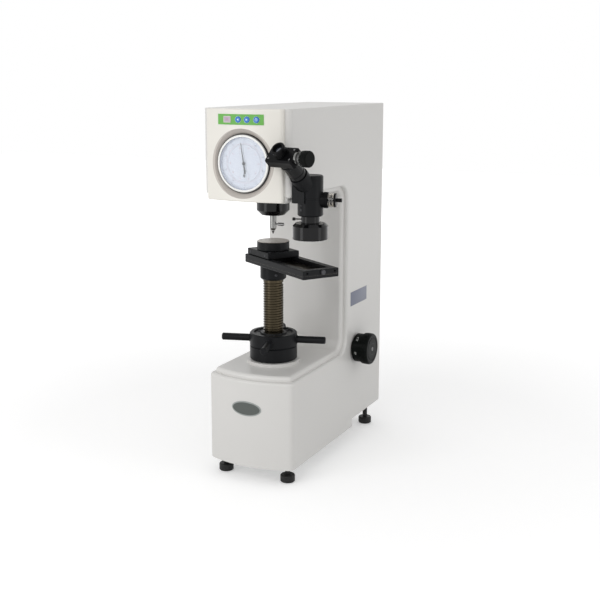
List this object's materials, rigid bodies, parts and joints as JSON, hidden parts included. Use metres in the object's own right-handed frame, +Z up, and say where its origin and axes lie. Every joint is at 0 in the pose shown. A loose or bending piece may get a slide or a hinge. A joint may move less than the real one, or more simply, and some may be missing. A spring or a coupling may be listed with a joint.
{
  "type": "hardness tester",
  "caption": "Bench hardness tester with a C-shaped body, dial gauge, screw-lifted stage on a slide, load knob and a side measuring microscope.",
  "frame": {"origin": "middle of the floor area the whole machine covers, at the feet's undersides", "axes": "+Z up, +Y towards the machine's back, +X towards the side with the load knob and the microscope"},
  "size_m": [0.2681, 0.5068, 0.7],
  "materials": {
    "aluminium": "machined",
    "black_gloss": "black gloss enamel",
    "black_plastic": "black plastic",
    "body_paint": "light warm grey fine-texture paint",
    "brass": "machined bronze",
    "cast_iron": "machined grey iron",
    "chrome": "polished",
    "clear": "clear glass",
    "cover_paint": "cream satin moulding",
    "dark_steel": "blued steel",
    "dial_white": "printed dial",
    "key_blue": "blue keys",
    "knob_plastic": "black moulded knob",
    "needle_black": "matt black",
    "panel_green": "green keypad film",
    "rubber": "black rubber",
    "steel": "ground steel",
    "wheel_black": "blackened steel",
    "window": "dark display window",
    "zinc": "zinc-plated sheet"
  },
  "bodies": {
    "body": {"body_casting": "body_paint", "top_cover": "body_paint", "rear_cover": "body_paint", "bottom_plate": "zinc", "head_cover": "cover_paint", "control_panel": "panel_green", "display_window": "window", "gauge_case": "black_plastic", "dial_centre": "dial_white", "spindle_cap": "black_gloss", "spindle_bush": "brass", "fulcrum_pin": "steel", "dashpot_cylinder": "aluminium", "loading_motor": "dark_steel", "power_supply": "zinc", "selector_bush": "brass", "thrust_bearing": "steel", "screw_guide": "brass", "microscope_bracket": "wheel_black", "body_tube": "wheel_black", "objective": "black_gloss", "objective_ring": "black_plastic", "lamp_house": "black_plastic", "lamp_window": "clear", "inclined_tube": "black_gloss", "power_inlet": "black_plastic"},
    "bezel": {"dial_bezel": "aluminium", "dial_face": "dial_white", "dial_glass": "clear"},
    "long_needle": {"long_needle": "needle_black"},
    "short_needle": {"short_needle": "needle_black"},
    "key_left": {"key_left": "key_blue"},
    "key_middle": {"key_middle": "key_blue"},
    "key_right": {"key_right": "key_blue"},
    "spindle": {"spindle": "steel", "indenter": "chrome"},
    "indenter_screw": {"indenter_screw": "chrome"},
    "lever": {"load_lever": "cast_iron"},
    "dashpot_rod": {"dashpot_rod": "steel"},
    "weights": {"weight_hanger": "dark_steel", "weights": "cast_iron"},
    "load_knob": {"load_knob": "knob_plastic", "knob_number_ring": "knob_plastic", "selector_shaft": "steel"},
    "handwheel": {"handwheel": "wheel_black", "handwheel_rods": "black_gloss"},
    "screw": {"lifting_screw": "dark_steel", "rail_bed": "dark_steel", "stop_screw": "chrome"},
    "stage": {"slide_table": "steel", "anvil": "chrome"},
    "eyepiece_head": {"micrometer_box": "black_plastic", "micrometer_sleeve": "chrome"},
    "drum": {"micrometer_drum": "knob_plastic"},
    "eyepiece": {"eyepiece": "black_plastic"},
    "power_switch": {"power_switch": "knob_plastic"},
    "foot_front_left": {"foot_front_left": "rubber"},
    "foot_front_right": {"foot_front_right": "rubber"},
    "foot_rear_left": {"foot_rear_left": "rubber"},
    "foot_rear_right": {"foot_rear_right": "rubber"}
  },
  "joints": [
    {"name": "handwheel_turn", "type": "hinge", "parent": "body", "child": "handwheel", "pos_m": [-0.0358, -0.0836, 0.255], "axis": [0, 0, 1], "range_deg": [-864, 7200]},
    {"name": "screw_lift", "type": "slide", "parent": "body", "child": "screw", "axis": [0, 0, 1], "range_m": [-0.1005, 0.0125]},
    {"name": "stage_slide", "type": "slide", "parent": "screw", "child": "stage", "axis": [0.8434, -0.5373, 0], "range_m": [0, 0.134]},
    {"name": "load_knob_turn", "type": "hinge", "parent": "body", "child": "load_knob", "pos_m": [0.0735, 0.1164, 0.2], "axis": [1, 0, 0], "range_deg": [-135, 135]},
    {"name": "needle_turn", "type": "hinge", "parent": "body", "child": "long_needle", "pos_m": [-0.0358, -0.1941, 0.603], "axis": [0, 1, 0], "range_deg": [-2, 1442]},
    {"name": "short_needle_turn", "type": "hinge", "parent": "body", "child": "short_needle", "pos_m": [-0.0358, -0.1941, 0.581], "axis": [0, 1, 0], "range_deg": [-1, 145]},
    {"name": "spindle_travel", "type": "slide", "parent": "body", "child": "spindle", "axis": [0, 0, 1], "range_m": [-0.00001, 0.00081]},
    {"name": "lever_tilt", "type": "hinge", "parent": "body", "child": "lever", "pos_m": [-0.0358, -0.1096, 0.656], "axis": [1, 0, 0], "range_deg": [-0.02, 1.78]},
    {"name": "dashpot_slide", "type": "slide", "parent": "body", "child": "dashpot_rod", "axis": [0, 0, 1], "range_m": [-0.0001, 0.00693]},
    {"name": "weights_lift", "type": "slide", "parent": "body", "child": "weights", "axis": [0, 0, 1], "range_m": [0, 0.00886]},
    {"name": "indenter_screw_turn", "type": "hinge", "parent": "spindle", "child": "indenter_screw", "pos_m": [-0.0248, -0.0836, 0.48], "axis": [1, 0, 0], "continuous": true},
    {"name": "bezel_turn", "type": "hinge", "parent": "body", "child": "bezel", "pos_m": [-0.0358, -0.1941, 0.603], "axis": [0, 1, 0], "continuous": true},
    {"name": "eyepiece_head_turn", "type": "hinge", "parent": "body", "child": "eyepiece_head", "pos_m": [0.0621, -0.21616, 0.61221], "axis": [-0.1798, -0.7211, 0.6691], "range_deg": [-90, 0]},
    {"name": "drum_turn", "type": "hinge", "parent": "eyepiece_head", "child": "drum", "pos_m": [0.10585, -0.23496, 0.6191], "axis": [0.9703, -0.2419, 0], "range_deg": [0, 2880]},
    {"name": "eye_lens_turn", "type": "hinge", "parent": "eyepiece_head", "child": "eyepiece", "pos_m": [0.0585, -0.23058, 0.62559], "axis": [-0.1798, -0.7211, 0.6691], "range_deg": [-180, 180]},
    {"name": "key_left_press", "type": "slide", "parent": "body", "child": "key_left", "axis": [0, 1, 0], "range_m": [0, 0.0005], "stiffness_N_per_m": 800, "springref_m": -0.0005},
    {"name": "key_middle_press", "type": "slide", "parent": "body", "child": "key_middle", "axis": [0, 1, 0], "range_m": [0, 0.0005], "stiffness_N_per_m": 800, "springref_m": -0.0005},
    {"name": "key_right_press", "type": "slide", "parent": "body", "child": "key_right", "axis": [0, 1, 0], "range_m": [0, 0.0005], "stiffness_N_per_m": 800, "springref_m": -0.0005},
    {"name": "power_switch_rock", "type": "hinge", "parent": "body", "child": "power_switch", "pos_m": [-0.0758, 0.2499, 0.129], "axis": [1, 0, 0], "range_deg": [-7, 7]},
    {"name": "foot_front_left_turn", "type": "hinge", "parent": "body", "child": "foot_front_left", "pos_m": [-0.1028, -0.1556, 0], "axis": [0, 0, 1], "continuous": true},
    {"name": "foot_front_right_turn", "type": "hinge", "parent": "body", "child": "foot_front_right", "pos_m": [0.0312, -0.1556, 0], "axis": [0, 0, 1], "continuous": true},
    {"name": "foot_rear_left_turn", "type": "hinge", "parent": "body", "child": "foot_rear_left", "pos_m": [-0.1038, 0.2224, 0], "axis": [0, 0, 1], "continuous": true},
    {"name": "foot_rear_right_turn", "type": "hinge", "parent": "body", "child": "foot_rear_right", "pos_m": [0.0322, 0.2224, 0], "axis": [0, 0, 1], "continuous": true}
  ],
  "couplings": [
    {"joint": "screw_lift", "follows": "handwheel_turn", "m_per_rad": -0.00079577},
    {"joint": "needle_turn", "follows": "weights_lift", "rad_per_m": 2836.2},
    {"joint": "short_needle_turn", "follows": "weights_lift", "rad_per_m": 283.62},
    {"joint": "spindle_travel", "follows": "weights_lift", "ratio": 0.090278},
    {"joint": "lever_tilt", "follows": "weights_lift", "rad_per_m": 3.4722},
    {"joint": "dashpot_slide", "follows": "weights_lift", "ratio": 0.77083}
  ]
}
